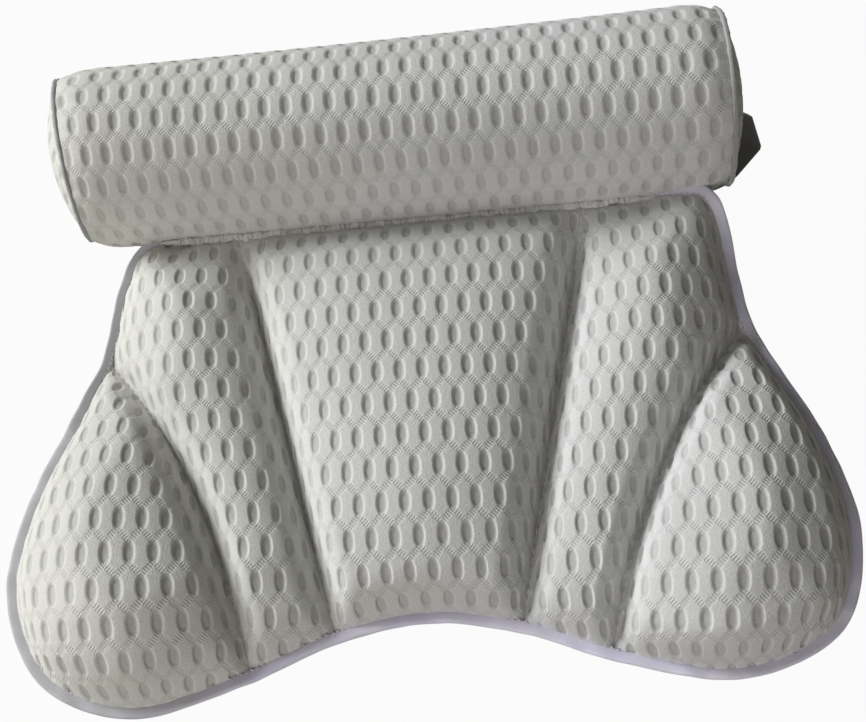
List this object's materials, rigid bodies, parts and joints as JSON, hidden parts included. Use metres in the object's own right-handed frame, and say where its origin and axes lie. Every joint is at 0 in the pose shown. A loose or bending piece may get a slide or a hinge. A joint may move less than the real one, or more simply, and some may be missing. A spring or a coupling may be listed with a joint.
{
  "type": "bath pillow",
  "caption": "Quilted air-mesh bath pillow: a neck roll sewn to a padded back rest with two folding shoulder wings, held to the tub by suction cups.",
  "frame": {"origin": "centre of the outline seen from above, in the plane that the suction cups' rims stand on", "axes": "+X along the neck roll to the right wing, +Y from the pad to the roll, +Z from the cups' rims to the side that is leant on"},
  "size_m": [0.3706, 0.3048, 0.098],
  "materials": {
    "air_mesh": "dimpled off-white polyester air mesh",
    "back_mesh": "fine off-white polyester mesh",
    "stuffing": "loose white polyester fibre",
    "binding": "pale woven tape",
    "thread": "off-white sewing thread",
    "cup": "smoky soft plastic, glossy",
    "eyelet": "grey plastic"
  },
  "bodies": {
    "pad": {"centre_front": "air_mesh", "centre_back": "back_mesh", "centre_fill": "stuffing", "inner_front_left": "air_mesh", "inner_back_left": "back_mesh", "inner_fill_left": "stuffing", "inner_front_right": "air_mesh", "inner_back_right": "back_mesh", "inner_fill_right": "stuffing", "binding_shoulder_left": "binding", "binding_shoulder_right": "binding", "binding_bottom": "binding", "seam_inner_left": "thread", "seam_inner_right": "thread", "seam_outer_left": "thread", "seam_outer_right": "thread", "join_seam": "air_mesh", "eyelet_pad_left": "eyelet", "eyelet_pad_right": "eyelet"},
    "wing_left": {"wing_front_left": "air_mesh", "wing_back_left": "back_mesh", "wing_fill_left": "stuffing", "binding_wing_left": "binding", "eyelet_wing_left": "eyelet"},
    "wing_right": {"wing_front_right": "air_mesh", "wing_back_right": "back_mesh", "wing_fill_right": "stuffing", "binding_wing_right": "binding", "eyelet_wing_right": "eyelet"},
    "roll": {"roll_cover": "air_mesh", "roll_piping_left": "binding", "roll_piping_right": "binding", "roll_end_left": "air_mesh", "roll_end_right": "air_mesh", "roll_fill": "stuffing", "eyelet_roll_left": "eyelet", "eyelet_roll_right": "eyelet"},
    "cup_roll_left": {"cup_roll_left": "cup"},
    "cup_roll_right": {"cup_roll_right": "cup"},
    "cup_pad_left": {"cup_pad_left": "cup"},
    "cup_pad_right": {"cup_pad_right": "cup"},
    "cup_wing_left": {"cup_wing_left": "cup"},
    "cup_wing_right": {"cup_wing_right": "cup"}
  },
  "joints": [
    {"name": "roll_fold", "type": "hinge", "parent": "pad", "child": "roll", "pos_m": [0, 0.06803, 0.037], "axis": [1, 0, 0], "range_deg": [-60, 10]},
    {"name": "wing_fold_left", "type": "hinge", "parent": "pad", "child": "wing_left", "pos_m": [-0.1445, -0.001, 0.03], "axis": [-0.4472, 0.8944, 0], "range_deg": [-45, 25], "stiffness_Nm_per_rad": 0.3},
    {"name": "wing_fold_right", "type": "hinge", "parent": "pad", "child": "wing_right", "pos_m": [0.1445, -0.001, 0.03], "axis": [-0.4472, -0.8944, 0], "range_deg": [-45, 25], "stiffness_Nm_per_rad": 0.3},
    {"name": "cup_swivel_roll_left", "type": "hinge", "parent": "roll", "child": "cup_roll_left", "pos_m": [-0.1385, 0.1191, 0], "axis": [0, 0, 1], "continuous": true},
    {"name": "cup_swivel_roll_right", "type": "hinge", "parent": "roll", "child": "cup_roll_right", "pos_m": [0.1385, 0.1191, 0], "axis": [0, 0, 1], "continuous": true},
    {"name": "cup_swivel_pad_left", "type": "hinge", "parent": "pad", "child": "cup_pad_left", "pos_m": [-0.105, 0.018, 0], "axis": [0, 0, 1], "continuous": true},
    {"name": "cup_swivel_pad_right", "type": "hinge", "parent": "pad", "child": "cup_pad_right", "pos_m": [0.105, 0.018, 0], "axis": [0, 0, 1], "continuous": true},
    {"name": "cup_swivel_wing_left", "type": "hinge", "parent": "wing_left", "child": "cup_wing_left", "pos_m": [-0.138, -0.092, 0], "axis": [0, 0, 1], "continuous": true},
    {"name": "cup_swivel_wing_right", "type": "hinge", "parent": "wing_right", "child": "cup_wing_right", "pos_m": [0.138, -0.092, 0], "axis": [0, 0, 1], "continuous": true}
  ]
}
